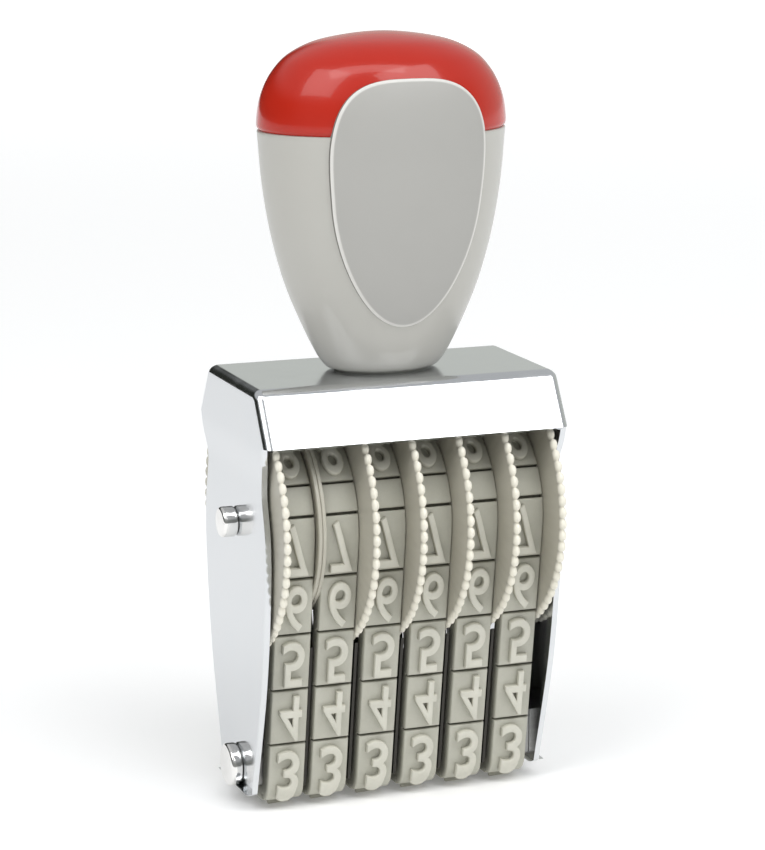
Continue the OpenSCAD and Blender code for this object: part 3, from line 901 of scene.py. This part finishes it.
# The cap: a red glossy dome, moulded in one piece. It plugs on to the grip, with a fine
# seam between the two.
seam_gap = 0.02 * mm
top_line = [point for point in handle_line if point[1] > joint + seam_clear]
cap_inside = [(wide - wall, high - wall * (high - joint) / (handle_height - joint))
              for wide, high in top_line if wide > 2 * wall]
cap_seam = [(joint_half - 0.32 * mm, joint + seam_gap),
            (joint_half - seam_edge, joint + 0.14 * mm),
            (half_at(joint + 0.4 * mm) - 0.06 * mm, joint + 0.4 * mm)]
cap_profile = [
    (joint_half - wall, joint + seam_gap), *cap_seam, *top_line, (0, handle_height - wall),
    *reversed(cap_inside), (joint_half - wall, joint + seam_gap)]
cap = moulded_round("cap_moulding", cap_profile)

cap_red, bench, shader = finish_named("cap_red", Specular_IOR_Level=0.2, Coat_Weight=0.35,
                                      Coat_Roughness=0.05)
spot = bench.add("ShaderNodeTexCoord", output=3)
flow = bench.add("ShaderNodeTexNoise", {}, {"Vector": spot, "Scale": 60, "Detail": 2})
orange_peel = bench.add("ShaderNodeTexNoise", {}, {"Vector": spot, "Scale": 700, "Detail": 2})
bench.plug(shader.inputs["Base Color"],
           bench.blended(flow, paint(172, 34, 20), paint(182, 42, 27)))
bench.plug(shader.inputs["Roughness"], bench.between(flow, 0.3, 0.7, 0.16, 0.24))
mould_skin = bench.add("ShaderNodeBump", {},
                       {"Height": orange_peel, "Strength": 0.05, "Distance": 0.1 * mm})
bench.plug(shader.inputs["Normal"], mould_skin)
cap.data.materials.append(cap_red)
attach(cap, "stamp")
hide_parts("handle_cap")


# The two labels: egg-shaped plates in satin grey plastic with a rounded rim, let into the front
# and the rear of the handle across its seam. Their rim carries a painted highlight, with a painted
# dark line of shade along its outer edge.
label_centre = 23.7 * mm
label_half_height = 16.8 * mm
label_half_width = 10.6 * mm
label_taper = 0.16
label_stand = 0.22 * mm
label_sunk = 1.3 * mm
label_flatness = 0.15
label_points = 120
label_rings = 10
shoulder = 3
rim_rounding = ((0.06 * mm, 0.08 * mm), (0.14 * mm, 0.07 * mm), (0.3 * mm, 0.02 * mm))
rim_rise = sum(lift for inset, lift in rim_rounding)


def label_plate(name):
    """An egg-shaped plate, made flat and facing the front, and then laid on the handle."""
    deselect()
    bpy.ops.mesh.primitive_circle_add(vertices=label_points, radius=1, fill_type="NGON",
                                      rotation=(pi / 2, 0, 0))
    plate = bpy.context.object
    bpy.ops.object.transform_apply(location=True, rotation=True, scale=True)
    for corner in plate.data.vertices:
        if corner.co.z > 0:
            full = (1 - min(corner.co.z, 1) ** shoulder) ** (1 / shoulder)
            corner.co.x = full if corner.co.x > 0 else -full
        corner.co.x *= label_half_width * (1 + label_taper * corner.co.z)
        corner.co.z *= label_half_height
    bpy.ops.object.mode_set(mode="EDIT")
    bpy.ops.mesh.select_all(action="SELECT")
    bpy.ops.mesh.normals_make_consistent(inside=False)
    bpy.ops.mesh.extrude_region_move(
        TRANSFORM_OT_translate={"value": (0, -label_stand - label_sunk, 0)})
    bpy.ops.mesh.select_all(action="SELECT")
    bpy.ops.mesh.normals_make_consistent(inside=False)
    pick("FACE", lambda face: len(face.verts) > 4 and face.normal.y < -0.5)
    for inset, lift in rim_rounding:
        bpy.ops.mesh.inset(thickness=inset, depth=lift)
    for ring in range(label_rings, 1, -1):
        bpy.ops.mesh.inset(thickness=hair, depth=0)
        share = (ring - 1) / ring
        bpy.ops.transform.resize(value=(share, 1, share), center_override=(0, 0, 0))
    bpy.ops.mesh.poke()
    bpy.ops.object.mode_set(mode="OBJECT")
    stand = min(corner.co.y for corner in plate.data.vertices)
    rim = plate.data.attributes.new("rim", "FLOAT", "POINT")
    for corner in plate.data.vertices:
        rim.data[corner.index].value = 1 + (stand - corner.co.y) / rim_rise
    for corner in plate.data.vertices:
        height = label_centre + corner.co.z
        half = half_at(height)
        curve = sqrt(max(half ** 2 - corner.co.x ** 2, 0))
        front = half * label_flatness + (1 - label_flatness) * curve
        corner.co.z = frame_height + height
        corner.co.y += -flatness * front - stand - label_stand
    return settle(plate, name, 50)


label_grey, bench, shader = finish_named("label_grey", Specular_IOR_Level=0.4)
spot = bench.add("ShaderNodeTexCoord", output=3)
cloud = bench.add("ShaderNodeTexNoise", {}, {"Vector": spot, "Scale": 90, "Detail": 3})
satin = bench.add("ShaderNodeTexNoise", {}, {"Vector": spot, "Scale": 2200, "Detail": 2})
plain = bench.blended(cloud, paint(166, 165, 161), paint(172, 171, 167))
height = bench.add("ShaderNodeAttribute", {"attribute_name": "rim"}, {}, 2)
# Painted highlight on the rounded rim, and painted shade along the plate's outer edge and side.
rim_highlight_and_shade = bench.add("ShaderNodeValToRGB", {"stops": [
    (0, paint(118, 117, 112)), (0.25, paint(226, 224, 219)), (0.9, paint(212, 210, 206))]},
    {"Fac": height})
inside_rim = bench.between(height, 0.9, 0.99)
bench.plug(shader.inputs["Base Color"], bench.blended(inside_rim, rim_highlight_and_shade, plain))
bench.plug(shader.inputs["Roughness"], bench.between(cloud, 0.3, 0.7, 0.42, 0.5))
satin_skin = bench.add("ShaderNodeBump", {},
                       {"Height": satin, "Strength": 0.15, "Distance": 0.03 * mm})
bench.plug(shader.inputs["Normal"], satin_skin)

front_plate = label_plate("front_label_plate")
rear_plate = copied(front_plate, "rear_label_plate")
for corner in rear_plate.data.vertices:
    corner.co.x *= -1
    corner.co.y *= -1
for plate, node in ((front_plate, "front_label"), (rear_plate, "rear_label")):
    plate.data.materials.append(label_grey)
    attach(plate, "stamp")
    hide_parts(node)
